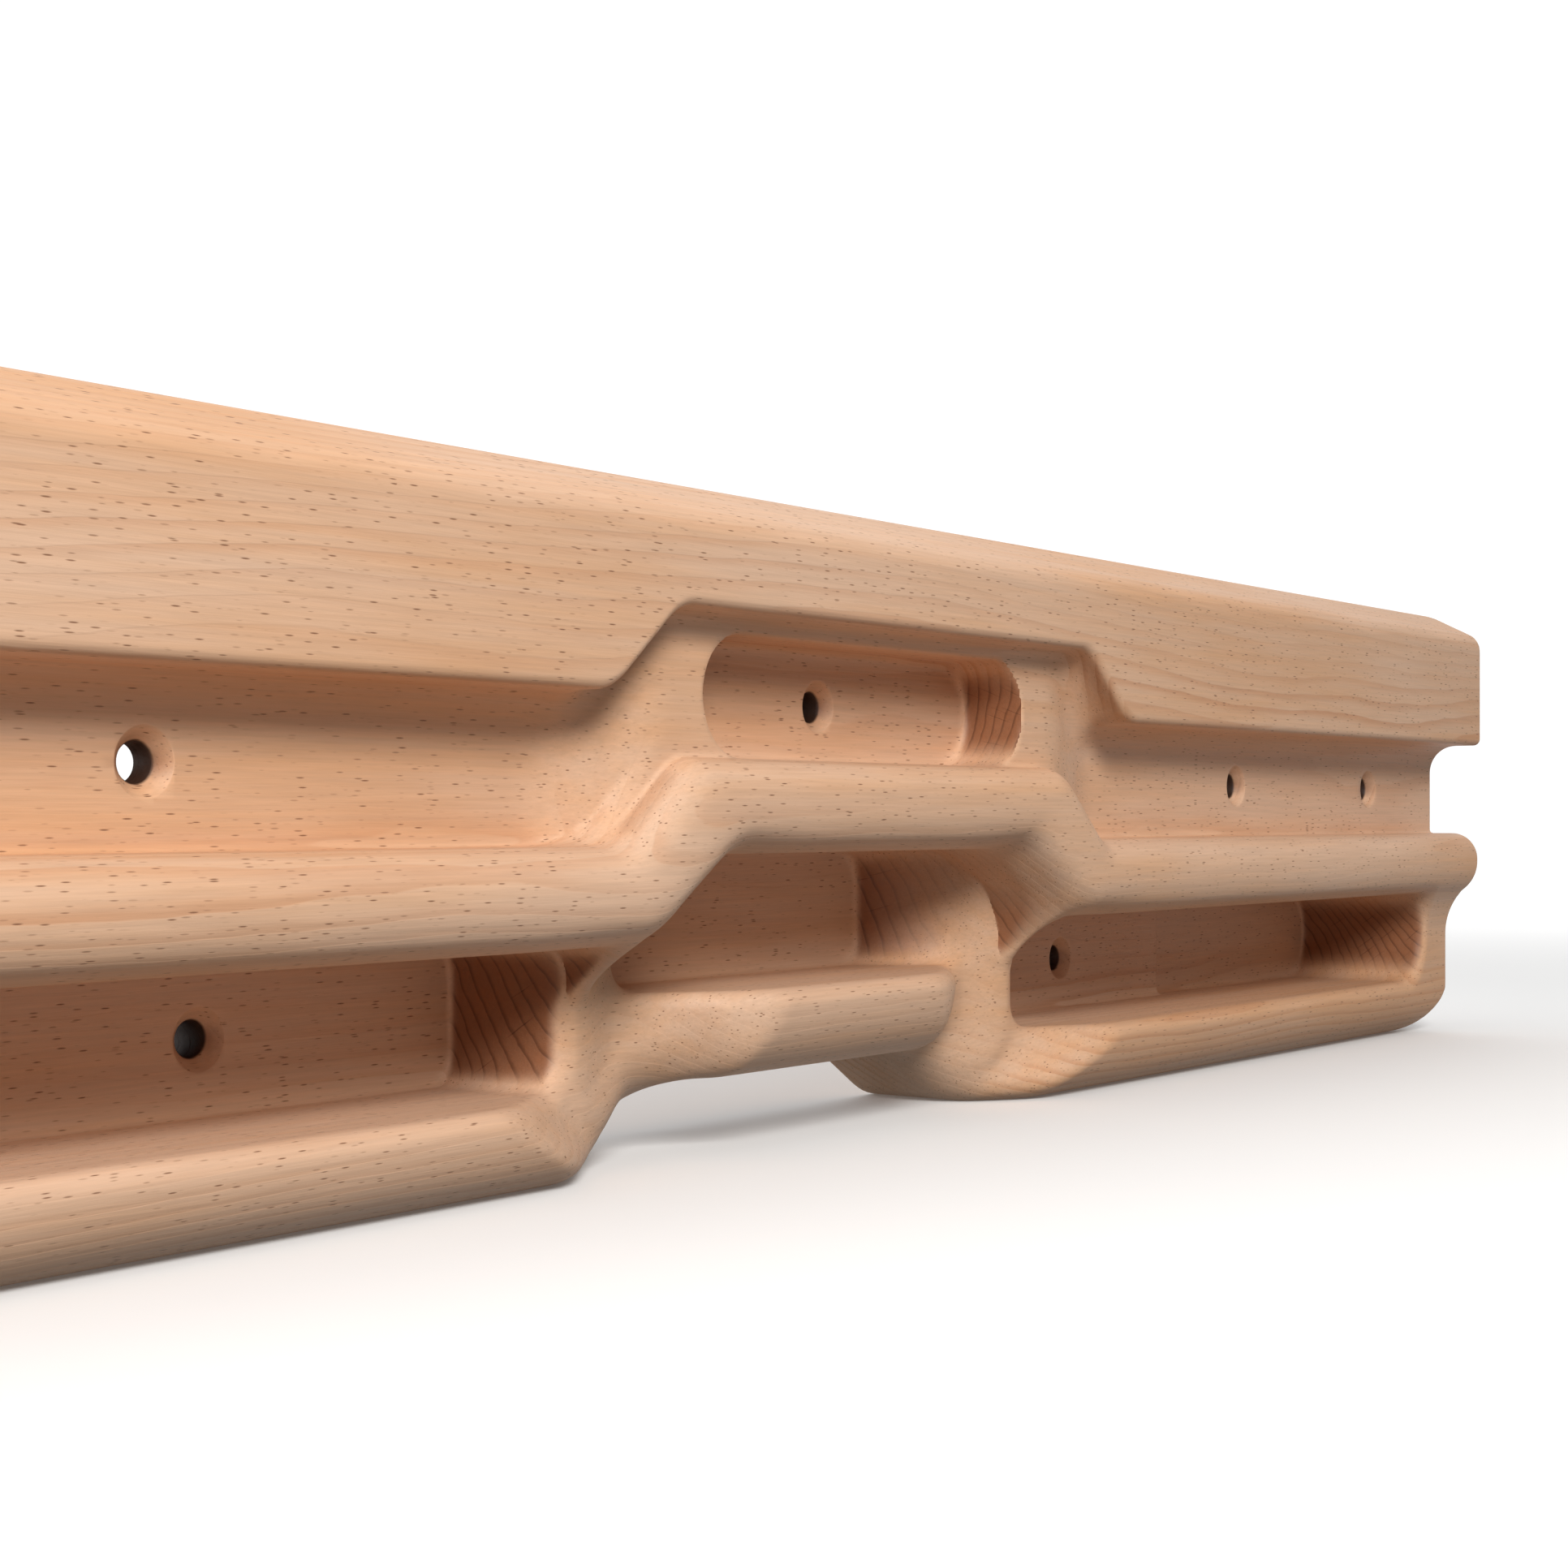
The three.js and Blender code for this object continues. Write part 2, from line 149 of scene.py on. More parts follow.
class HANGBOARD_PG_pockets(bpy.types.PropertyGroup):
    """The finger pocket, the three lower pockets, the screw holes and the relief in the back"""

    finger_width: length("Finger pocket width", "Length of the finger pocket", 0.117)
    finger_height: length("Finger pocket height", "Height of the finger pocket", 0.024)
    finger_middle: length("Finger pocket place", "Height of its middle", 0.091)
    finger_floor: length("Finger pocket floor", "Depth of its floor", 0.0244)
    finger_rim: length("Finger pocket rim", "Rounding of its rim", 0.00075)
    finger_corner: length("Finger pocket corner", "Rounding round its floor", 0.0023)
    lower_bottom: length("Lower pockets' bottom", "Height of their lower wall", 0.017)
    lower_top: length("Lower pockets' top", "Height of their upper wall before the arch", 0.0442)
    middle_bottom_corner: length("Middle pocket's lower corner", "Radius seen from the front", 0.0065)
    middle_top_corner: length("Middle pocket's upper corner", "Radius seen from the front", 0.009)
    wing_inner_corner: length("Wing pocket's inner corner", "Radius seen from the front", 0.0065)
    wing_outer_corner: length("Wing pocket's outer corner", "Radius seen from the front", 0.0135)
    flare_slope: FloatProperty(
        name="Flare slope", description="How fast the flares open in front of the webs", default=0.2
    )
    middle_flare: length("Middle flare width", "Width of its flared ends", 0.026)
    middle_flare_depth: length("Middle flare depth", "Depth of its flared ends", 0.024)
    middle_flare_roundness: FloatProperty(
        name="Middle flare roundness", description="2 is an ellipse, 1 is straight", default=1.5
    )
    wing_inner: length("Wing pocket inner end", "Distance from the middle", 0.085)
    wing_flare: length("Wing flare width", "Width of its flared inner end", 0.0045)
    wing_flare_depth: length("Wing flare depth", "Depth of its flared inner end", 0.0245)
    wing_flare_roundness: FloatProperty(
        name="Wing flare roundness", description="2 is an ellipse, 1 is straight", default=2.0
    )
    lower_rim: length("Lower pockets' rim", "Rounding of their rims", 0.00375)
    floor_corner: length("Floor corner", "Rounding round the lower pockets' floors", 0.0019)
    middle_half: length("Middle pocket half width", "Half the length of its floor", 0.0478)
    middle_floor: length("Middle pocket floor", "Depth of its floor", 0.0478)
    wing_outer: length("Wing pocket outer end", "Distance from the middle", 0.3056)
    wing_floor: length("Wing pocket floor", "Depth of its inner floor", 0.0492)
    step_place: length("Step place", "Where the wing pocket's floor steps down", 0.2016)
    step: length("Step", "How much deeper the outer floor is", 0.0024)
    step_run: length("Step run", "Length over which the floor steps down", 0.0012)
    bore: length("Screw bore", "Radius of the screw holes", 0.0031)
    head: length("Screw head", "Radius of the countersinks", 0.0055)
    channel_screw_height: length(
        "Channel screws' height", "Height of the screw holes in the channel", 0.076
    )
    channel_screw_inner: length("Inner channel screw", "Distance from the middle", 0.184)
    channel_screw_outer: length("Outer channel screw", "Distance from the middle", 0.274)
    pocket_screw_height: length("Pocket screws' height", "Height of the screw holes in the pockets", 0.030)
    pocket_screw: length("Pocket screw", "Distance from the middle", 0.146)
    relief_middle: length("Relief place", "Distance of the back relief from the middle", 0.230)
    relief_width: length("Relief width", "Length of the back relief", 0.168)
    relief_height: length("Relief height", "Height of the back relief", 0.026)
    relief_corner: length("Relief corner", "Radius of its corners", 0.009)
    relief_floor: length("Relief floor", "Depth of its floor behind the front plane", 0.0228)


class HANGBOARD_PG_beech(bpy.types.PropertyGroup):
    """Colours and scale of the steamed beech, and the painted shade in its screw holes"""

    pale: colour("Pale wood", "Early wood between the rings", (0.70, 0.46, 0.315))
    warm: colour("Warm wood", "Broad warm areas", (0.64, 0.355, 0.19))
    ring: colour("Ring line", "Late wood at the end of each ring", (0.50, 0.215, 0.095))
    fleck: colour("Ray fleck", "Short dark ray flecks", (0.20, 0.085, 0.04))
    # end is the end grain's own darker tone, made deeper as painted shade for end walls and ramps that lie
    # in shade
    end: colour("End grain", "Tint of the end grain", (0.42, 0.29, 0.22))
    end_ring: colour("End grain ring", "Ring lines in the end grain", (0.10, 0.035, 0.014))
    # bore is painted shade: a near-black colour laid on the screw holes' walls, where they lie in shade
    bore: colour("Bore", "Burnt wood inside the screw holes", (0.035, 0.014, 0.007))
    ring_spacing: length("Ring spacing", "Distance between growth rings", 0.0027)
    pith_depth: length("Pith depth", "Distance of the tree's pith in front of the board", 0.033)
    pith_height: length("Pith height", "Height of the tree's pith", 0.075)
    roughness: FloatProperty(
        name="Roughness", description="Roughness of the sanded wood", default=0.56, min=0, max=1,
        subtype="FACTOR",
    )


class HANGBOARD_PG_stage(bpy.types.PropertyGroup):
    """The pale studio and the camera"""

    floor: colour("Floor", "Colour of the floor", (0.93, 0.93, 0.93))
    backdrop: colour("Backdrop", "Colour of the studio round the board", (1, 1, 1))
    back_light: FloatProperty(
        name="Backdrop light", description="Strength of the white backdrop behind the board", default=1.08,
        min=0,
    )
    front_light: FloatProperty(
        name="Room light", description="Strength of the room on the climber's side", default=0.16, min=0
    )
    top_light: FloatProperty(
        name="Overhead light", description="Strength of the ceiling", default=0.62, min=0
    )
    floor_light: FloatProperty(
        name="Light off the floor", description="Strength of the light that the floor throws up",
        default=0.13, min=0,
    )
    floor_glow: FloatProperty(
        name="Floor glow", description="How much the far floor's own white is raised", default=0.45, min=0
    )
    floor_glow_near: FloatProperty(
        name="Floor glow by the board", description="Share of that glow next to the board", default=0.1,
        min=0, max=1, subtype="FACTOR",
    )
    glow_start: length("Glow start", "Distance from the board where the glow starts to rise", 0.5)
    glow_end: length("Glow end", "Distance from the board where the glow is whole", 1.4)
    key_power: FloatProperty(
        name="Key light", description="Power of the large soft light at the left", default=20.5, min=0,
        unit="POWER",
    )
    camera_place: FloatVectorProperty(
        name="Camera", description="Where the camera stands", size=3, subtype="TRANSLATION", unit="LENGTH",
        default=(-0.4181, -0.30375, 0.068),
    )
    camera_heading: FloatProperty(
        name="Camera heading", description="Angle of the view from the board's front", subtype="ANGLE",
        default=math.atan2(0.592, 0.806),
    )
    lens: FloatProperty(
        name="Lens", description="Focal length for a sensor 36 mm wide", default=55.58, min=1
    )
    horizon: FloatProperty(
        name="Horizon", description="Row of the photograph where the horizon lies", default=1005,
        subtype="PIXEL",
    )


def in_mm(group):
    """A property group's values, with the lengths in millimetres."""
    values = {}
    for name in group.__annotations__:
        scale = 1 / MM if group.bl_rna.properties[name].unit == "LENGTH" else 1
        value = getattr(group, name)
        values[name] = value * scale if isinstance(value, float) else value
    return SimpleNamespace(**values)


# Signed distances, in millimetres: x from the middle, d behind the front plane, z before the arch lifts it

OUTLINE_STEPS = 20
EDGE_SHARE = 0.98
TABLE_STEP = 0.3
TABLE_MARGIN = 6.0
RAMP_EASE = 0.3
LIFT_FULL = 93.0
LIFT_NONE = 119.0
BACK_EDGE_START = 24.0
BACK_EDGE_END = 44.0
SCOOP_WHOLE = 38.0
SCOOP_NONE = 56.0


def rounded_outline(corners, steps):
    """A closed outline from corners (across, up, radius), each rounded by a tangent arc."""
    points = np.array([c[:2] for c in corners], float)
    radii = np.array([c[2] for c in corners], float)
    back = np.roll(points, 1, 0) - points
    ahead = np.roll(points, -1, 0) - points
    edges = np.hypot(*ahead.T)
    back /= np.hypot(*back.T)[:, None]
    ahead /= edges[:, None]
    half = np.arccos(np.clip((back * ahead).sum(1), -1, 1)) / 2
    reach = radii / np.tan(half)
    fits = np.minimum(1, EDGE_SHARE * edges / (reach + np.roll(reach, -1)))
    fitted = (reach * np.minimum(fits, np.roll(fits, 1)))[:, None]
    inward = back + ahead
    inward /= np.hypot(*inward.T)[:, None]
    centre = points + inward * fitted / np.cos(half)[:, None]
    start = points + back * fitted - centre
    end = points + ahead * fitted - centre
    turn = np.arctan2(start[:, 0] * end[:, 1] - start[:, 1] * end[:, 0], (start * end).sum(1))
    angle = turn[:, None] * np.linspace(0, 1, steps + 1)
    across = start[:, :1] * np.cos(angle) - start[:, 1:] * np.sin(angle)
    up = start[:, :1] * np.sin(angle) + start[:, 1:] * np.cos(angle)
    return (np.stack([across, up], 2) + centre[:, None]).reshape(-1, 2)


def section_corners(p, middle):
    """Corners (depth, height, radius) of the plank's section in the wings or at the middle."""
    channel = p.channel_middle if middle else p.channel_wing
    cove = p.channel_cove_middle if middle else p.channel_cove
    return [
        (p.depth, 0, p.back_edge),
        (p.depth, p.height, p.back_edge),
        (p.crown_depth, p.height, p.crown_back),
        (0, p.height - p.crown_fall, p.crown_front),
        (0, p.channel_top, p.channel_lip),
        (channel, p.channel_top, cove),
        (channel, p.channel_bottom, p.channel_corner),
        (p.ridge_setback, p.channel_bottom, p.ridge_top),
        (p.ridge_setback, p.ridge_under, p.ridge_under_radius),
        (p.crease_depth, p.crease_height, p.crease_radius),
        (p.band_setback, p.band_top, p.band_top_radius),
        (p.band_setback, 0, p.foot),
    ]


def distance_table(outline, low, high):
    """Signed distances to a closed outline on an even grid of depth and height."""
    d = np.arange(low[0], high[0], TABLE_STEP)[:, None]
    z = np.arange(low[1], high[1], TABLE_STEP)[None, :]
    nearest = np.full((d.size, z.size), np.inf)
    inside = np.zeros((d.size, z.size), bool)
    for (ad, az), (bd, bz) in zip(outline, np.roll(outline, -1, 0)):
        ed, ez = bd - ad, bz - az
        along = np.clip(((d - ad) * ed + (z - az) * ez) / max(ed * ed + ez * ez, 1e-12), 0, 1)
        nearest = np.minimum(nearest, (d - ad - ed * along) ** 2 + (z - az - ez * along) ** 2)
        if az != bz:
            crossed = ((az <= z) & (bz > z)) | ((bz <= z) & (az > z))
            inside ^= crossed & (d < ad + (z - az) * ed / ez)
    return np.where(inside, -1, 1) * np.sqrt(nearest)


def look_up(table, low, d, z):
    """Reads a distance table between its grid points."""
    u = np.clip((d - low[0]) / TABLE_STEP, 0, table.shape[0] - 1.001)
    v = np.clip((z - low[1]) / TABLE_STEP, 0, table.shape[1] - 1.001)
    i, j = u.astype(int), v.astype(int)
    u, v = u - i, v - j
    return (
        table[i, j] * (1 - u) * (1 - v)
        + table[i + 1, j] * u * (1 - v)
        + table[i, j + 1] * (1 - u) * v
        + table[i + 1, j + 1] * u * v
    )


def smooth(t):
    """Smoothstep from 0 to 1."""
    t = np.clip(t, 0, 1)
    return t * t * (3 - 2 * t)


def ramp(t):
    """Eases from 0 to 1 with a straight middle and a parabola at each end."""
    t = np.clip(t, 0, 1)
    slope = 1 / (1 - RAMP_EASE)
    start = slope * t * t / (2 * RAMP_EASE)
    end = 1 - slope * (1 - t) ** 2 / (2 * RAMP_EASE)
    return np.where(t < RAMP_EASE, start, np.where(t > 1 - RAMP_EASE, end, slope * (t - RAMP_EASE / 2)))


def meet(a, b, radius):
    """Distance to where two solids overlap, with the edge between them rounded."""
    outside = np.hypot(np.maximum(a + radius, 0), np.maximum(b + radius, 0))
    return np.minimum(np.maximum(a, b), -radius) + outside


def slot_distance(across, up, half_width, half_height, radius):
    """Distance to a rounded rectangle seen from the front."""
    over = np.abs(across) - half_width + radius
    above = np.abs(up) - half_height + radius
    outside = np.hypot(np.maximum(over, 0), np.maximum(above, 0))
    return np.minimum(np.maximum(over, above), 0) + outside - radius


def corner_cut(solid, across, up, radius, edge):
    """Rounds a corner seen from the front, given how far a point lies past its two sides."""
    u = np.maximum(across + radius, 0)
    v = np.maximum(up + radius, 0)
    share = (2 * u * v / (u * u + v * v + 1e-9)) ** 2
    cut = meet(solid, np.hypot(u, v) - radius, edge * share)
    return np.where((u > 0) & (v > 0), cut, solid)


class BoardShape:
    """The board as a signed distance, and the arch that lifts it."""

    def __init__(self, plank, pockets):
        self.plank = plank
        self.pockets = pockets
        self.low = (-TABLE_MARGIN, -TABLE_MARGIN)
        high = (plank.depth + TABLE_MARGIN, plank.height + TABLE_MARGIN)
        self.tables = [
            distance_table(rounded_outline(section_corners(plank, middle), OUTLINE_STEPS), self.low, high)
            for middle in (False, True)
        ]

    def lift(self, x, z):
        """How far the arch lifts a point."""
        p, q = self.plank, self.pockets
        ridge_share = smooth((z - q.lower_top) / (p.channel_bottom - q.lower_top))
        lean = p.arch_ramp_low_lean + (p.arch_ramp_lean - p.arch_ramp_low_lean) * ridge_share
        middle = p.arch_ramp_middle + lean * z + p.arch_ramp_shift * ridge_share
        run = p.arch_floor_ramp + (p.arch_ramp - p.arch_floor_ramp) * ridge_share
        rise = p.arch_floor_rise + (p.arch_rise - p.arch_floor_rise) * np.clip(z / q.lower_bottom, 0, 1)
        fade = np.clip((LIFT_NONE - z) / (LIFT_NONE - LIFT_FULL), 0, 1)
        return rise * fade * ramp((middle + run / 2 - x) / run)

    def scoop(self, x, z):
        """How far the front is scooped back."""
        p, q = self.plank, self.pockets
        up = smooth(z / q.lower_bottom)
        start = p.scoop_floor_start + (p.scoop_start - p.scoop_floor_start) * up
        full = p.scoop_floor_full + (p.scoop_full - p.scoop_floor_full) * up
        end = p.scoop_floor_end + (p.scoop_end - p.scoop_floor_end) * up
        run = p.scoop_floor_end_run + (p.scoop_end_run - p.scoop_floor_end_run) * up
        inner = smooth((x - start) / (full - start))
        outer = smooth((end - x) / run)
        hollow_end = p.hollow_floor_end + (p.hollow_end - p.hollow_floor_end) * up
        hollow = smooth((x - p.hollow_start) / (p.hollow_full - p.hollow_start))
        hollow = hollow * smooth((hollow_end - x) / p.hollow_end_run)
        back = (p.web_depth - p.band_setback) * np.minimum(inner, outer) + p.hollow_depth * hollow
        return back * smooth((p.scoop_top - z) / p.scoop_fade)

    def plank_distance(self, x, d, z):
        """Distance to the plank before its pockets are cut."""
        p = self.plank
        if x.min() < p.scoop_end:
            share = np.clip((SCOOP_NONE - d) / (SCOOP_NONE - SCOOP_WHOLE), 0, 1)
            moved = d - self.scoop(x, z) * share
            middle = ramp((p.channel_ramp_end - x) / p.channel_ramp)
            wing = look_up(self.tables[0], self.low, moved, z)
            solid = wing * (1 - middle) + look_up(self.tables[1], self.low, moved, z) * middle
        else:
            solid = look_up(self.tables[0], self.low, d, z)
        end = x - p.width / 2
        to_back = smooth((d - BACK_EDGE_START) / (BACK_EDGE_END - BACK_EDGE_START))
        edge = p.end_edge + (p.back_edge - p.end_edge) * to_back
        solid = meet(solid, end, edge)
        solid = corner_cut(solid, end, z - p.height, p.end_top, edge)
        return corner_cut(solid, end, -z, p.end_bottom, edge)

    def flare(self, d, width, depth, roundness):
        """How far a lower pocket's end has opened at a depth."""
        front = self.plank.web_depth
        t = np.clip((front + depth - d) / depth, 0, 1)
        opening = self.pockets.flare_slope * np.maximum(front - d, 0)
        return width * (1 - (1 - t**roundness) ** (1 / roundness)) + opening

    def pocket_distances(self, x, d, z):
        """Distances to the finger pocket and to the nearest lower pocket."""
        p, q = self.plank, self.pockets
        up = z + p.arch_rise - q.finger_middle
        finger = slot_distance(x, up, q.finger_width / 2, q.finger_height / 2, q.finger_height / 2)
        finger = meet(finger, d - q.finger_floor, q.finger_corner)
        upper = z - q.lower_top
        beyond = np.abs(z - (q.lower_bottom + q.lower_top) / 2) - (q.lower_top - q.lower_bottom) / 2
        inner = q.wing_inner - self.flare(d, q.wing_flare, q.wing_flare_depth, q.wing_flare_roundness) - x
        wing = np.maximum(
            meet(inner, beyond, q.wing_inner_corner), meet(x - q.wing_outer, beyond, q.wing_outer_corner)
        )
        floor = q.wing_floor + q.step * smooth((x - q.step_place) / q.step_run + 0.5)
        wing = meet(wing, d - floor, q.floor_corner)
        half = q.middle_half + self.flare(d, q.middle_flare, q.middle_flare_depth, q.middle_flare_roundness)
        below = q.lower_bottom + p.arch_rise - z - self.lift(x, z)
        middle = meet(x - half, below, q.middle_bottom_corner)
        middle = meet(middle, upper, q.middle_top_corner)
        middle = meet(middle, d - q.middle_floor, q.floor_corner)
        return finger, np.minimum(wing, middle)

    def distance(self, x, d, z):
        """Distance to the board, all but its screw holes."""
        p, q = self.plank, self.pockets
        solid = self.plank_distance(x, d, z)
        finger, lower = self.pocket_distances(x, d, z)
        solid = meet(solid, -finger, q.finger_rim)
        solid = meet(solid, -lower, q.lower_rim)
        across, up = x - q.relief_middle, z - q.channel_screw_height
        relief = slot_distance(across, up, q.relief_width / 2, q.relief_height / 2, q.relief_corner)
        return meet(solid, -meet(relief, q.relief_floor - d, p.back_edge), p.back_edge)


# The mesh: a net of quads over the distance field's zero surface, drawn onto it

GRID_MARGIN = 2.0
GRID_GROWTH = 0.22
GRID_COARSE_X = 4.0
GRID_COARSE = 1.1
GRID_FIRST = 0.4
ON_MIDDLE = 1e-6
NET_BLOCK = 6
DRAW_STEPS = 4
DRAW_LIMIT = 0.6
PROBE = 0.02


def grid_lines(low, high, coarse, marks):
    """Places from low to high, closer together near each mark (from, to, spacing)."""
    places = [low]
    while places[-1] < high:
        here = places[-1]
        gaps = [gap + GRID_GROWTH * max(start - here, here - end, 0) for start, end, gap in marks]
        places.append(here + min(gaps + [coarse]))
    return np.array(places)


def board_grid(p, q):
    """Grid lines along x, d and z, fine where the board has edges."""
    x = grid_lines(
        GRID_FIRST,
        p.width / 2 + GRID_MARGIN,
        GRID_COARSE_X,
        [
            (0, 45, 1.2),
            (45, 112, 0.7),
            (q.step_place - 1, q.step_place + 1, 0.3),
            (q.wing_outer - q.wing_outer_corner, q.wing_outer + 3, 0.7),
            (q.relief_middle - q.relief_width / 2, q.relief_middle - q.relief_width / 2 + 9, 1.2),
            (p.width / 2 - 4, p.width / 2, 0.45),
        ],
    )
    d = grid_lines(
        -GRID_MARGIN,
        p.depth + GRID_MARGIN,
        GRID_COARSE,
        [
            (-1, 1, 0.35),
            (p.band_setback, p.band_setback + 1, 0.7),
            (p.web_depth - 2, p.web_depth + 3, 0.7),
            (q.finger_floor - 1, q.finger_floor, 0.5),
            (q.middle_floor - 1, q.wing_floor + q.step, 0.5),
            (p.depth - 1, p.depth, 0.4),
        ],
    )
    z = grid_lines(
        -GRID_MARGIN,
        p.height + GRID_MARGIN,
        GRID_COARSE,
        [
            (0, 1, 0.4),
            (q.lower_bottom - 3, q.lower_bottom + 3, 0.7),
            (p.band_top - 6, p.ridge_under + 2, 0.6),
            (p.channel_bottom - 1, p.channel_bottom + 1, 0.35),
            (p.channel_top - 1, p.channel_top + 2, 0.35),
            (p.height - p.crown_fall - 3, p.height - p.crown_fall, 0.8),
            (p.height - 1, p.height, 0.4),
        ],
    )
    return np.concatenate([[-GRID_FIRST], x]), d, z


def field_on_grid(shape, axes):
    """The distance field on the whole grid, worked out a few lines at a time."""
    x, d, z = axes
    blocks = []
    for start in range(0, len(x), NET_BLOCK):
        part = np.abs(x[start:start + NET_BLOCK])
        blocks.append(shape.distance(*np.meshgrid(part, d, z, indexing="ij")))
    return np.concatenate(blocks)


def surface_net(field, axes):
    """Points and quads of a field's zero surface: one point in each cell that it crosses."""
    cells = np.array(field.shape) - 1
    crossings, quads = [], []
    for axis in range(3):
        b, c = (axis + 1) % 3, (axis + 2) % 3
        first = [slice(None)] * 3
        second = [slice(None)] * 3
        first[axis], second[axis] = slice(0, -1), slice(1, None)
        f0, f1 = field[tuple(first)], field[tuple(second)]
        crossed = (f0 < 0) != (f1 < 0)
        if axis != 0:
            crossed[0] = False
        at = np.nonzero(crossed)
        v0, v1 = f0[at], f1[at]
        point = np.stack([axes[n][at[n]] for n in range(3)], 1)
        point[:, axis] += v0 / (v0 - v1) * (axes[axis][at[axis] + 1] - axes[axis][at[axis]])
        corners = []
        for db, dc in ((0, 0), (1, 0), (1, 1), (0, 1)):
            cell = list(at)
            cell[b] = at[b] - db
            cell[c] = at[c] - dc
            corners.append((cell[0] * cells[1] + cell[1]) * cells[2] + cell[2])
        quad = np.stack(corners, 1)
        quads.append(np.where((v0 < 0)[:, None], quad, quad[:, ::-1]))
        crossings.append(point)
    quads = np.concatenate(quads)
    crossings = np.repeat(np.concatenate(crossings), 4, 0)
    used, numbers = np.unique(quads.ravel(), return_inverse=True)
    count = np.bincount(numbers)
    points = np.stack([np.bincount(numbers, crossings[:, n]) / count for n in range(3)], 1)
    points[used < cells[1] * cells[2], 0] = 0
    return points, numbers.reshape(-1, 4)


def drawn_on(shape, points):
    """Moves points onto the zero surface along its slope."""
    on_middle = np.abs(points[:, 0]) < ON_MIDDLE
    for _ in range(DRAW_STEPS):
        value = shape.distance(*points.T)
        slope = np.empty_like(points)
        for n in range(3):
            ahead, behind = points.copy(), points.copy()
            ahead[:, n] += PROBE
            behind[:, n] -= PROBE
            rise = shape.distance(*ahead.T) - shape.distance(*behind.T)
            slope[:, n] = rise / (2 * PROBE)
        slope[on_middle, 0] = 0
        move = slope * (value / np.maximum((slope**2).sum(1), 1e-6))[:, None]
        reach = np.maximum(np.sqrt((move**2).sum(1)), 1e-9)
        points = points - move * np.minimum(1, DRAW_LIMIT / reach)[:, None]
    return points


def mirrored(points, quads):
    """Adds the left half, sharing the points on the middle plane."""
    on_middle = np.abs(points[:, 0]) < ON_MIDDLE
    left = np.arange(len(points))
    left[~on_middle] = len(points) + np.arange((~on_middle).sum())
    other = points[~on_middle] * (-1, 1, 1)
    return np.concatenate([points, other]), np.concatenate([quads, left[quads][:, ::-1]])


def board_mesh(p, q):
    """The whole board without its screw holes, in metres."""
    shape = BoardShape(p, q)
    axes = board_grid(p, q)
    points, quads = surface_net(field_on_grid(shape, axes), axes)
    points = drawn_on(shape, points)
    points[:, 2] += shape.lift(points[:, 0], points[:, 2])
    points, quads = mirrored(points, quads)
    points = np.clip((points - (0, p.depth / 2, 0)) * MM, np.array(BOARD_LOW), np.array(BOARD_HIGH))
    mesh = bpy.data.meshes.new("milled_board")
    mesh.from_pydata(points.tolist(), [], quads.tolist())
    if mesh.validate():
        raise RuntimeError("the board's mesh has bad faces")
    return mesh


HOLE_SIDES = 48
HOLE_OVERRUN = 2.0
HOLE_RIM = 0.35
CREASE_ANGLE = math.radians(40)


def screw_places(p, q):
    """Each screw hole's place (x, z) and the depth of the floor that it starts from."""
    places = [(0, q.finger_middle, q.finger_floor)]
    for side in (-1, 1):
        places += [
            (side * q.channel_screw_inner, q.channel_screw_height, p.channel_wing),
            (side * q.channel_screw_outer, q.channel_screw_height, p.channel_wing),
            (side * q.pocket_screw, q.pocket_screw_height, q.wing_floor),
        ]
    return places


def screw_cutters(p, q):
    """One mesh of all screw holes: a countersink that runs into a bore."""
    drill = bmesh.new()
    sink = q.head - q.bore
    for x, z, floor in screw_places(p, q):
        through = p.depth - floor + HOLE_OVERRUN
        profile = [
            (q.head + HOLE_OVERRUN, -HOLE_OVERRUN),
            (q.head + HOLE_RIM, -HOLE_RIM / 3),
            (q.head, HOLE_RIM / 3),
            (q.bore + HOLE_RIM, sink - HOLE_RIM / 2),
            (q.bore, sink + HOLE_RIM),
            (q.bore, through),
        ]
        rings = []
        for radius, depth in profile:
            angles = [2 * math.pi * n / HOLE_SIDES for n in range(HOLE_SIDES)]
            rings.append([
                drill.verts.new((
                    (x + radius * math.cos(a)) * MM,
                    (floor + depth - p.depth / 2) * MM,
                    (z + radius * math.sin(a)) * MM,
                ))
                for a in angles
            ])
        drill.faces.new(rings[0])
        drill.faces.new(rings[-1][::-1])
        for near, far in zip(rings, rings[1:]):
            for n in range(HOLE_SIDES):
                m = (n + 1) % HOLE_SIDES
                drill.faces.new((near[n], far[n], far[m], near[m]))
    bmesh.ops.recalc_face_normals(drill, faces=drill.faces)
    mesh = bpy.data.meshes.new("drill")
    drill.to_mesh(mesh)
    drill.free()
    return mesh


def linked(name, data):
    """A new object in the scene."""
    piece = bpy.data.objects.new(name, data)
    bpy.context.scene.collection.objects.link(piece)
    return piece


def drilled(board, drill):
    """Cuts the drill's shape out of the board and keeps the result."""
    cut = board.modifiers.new("screw_holes", "BOOLEAN")
    cut.operation = "DIFFERENCE"
    cut.solver = "MANIFOLD"
    cut.object = drill
    graph = bpy.context.evaluated_depsgraph_get()
    result = bpy.data.meshes.new_from_object(board.evaluated_get(graph))
    if len(result.polygons) == len(board.data.polygons):
        raise RuntimeError("the screw holes weren't cut")
    board.modifiers.clear()
    board.data = result
    bpy.data.objects.remove(drill)


# Node trees written as expressions


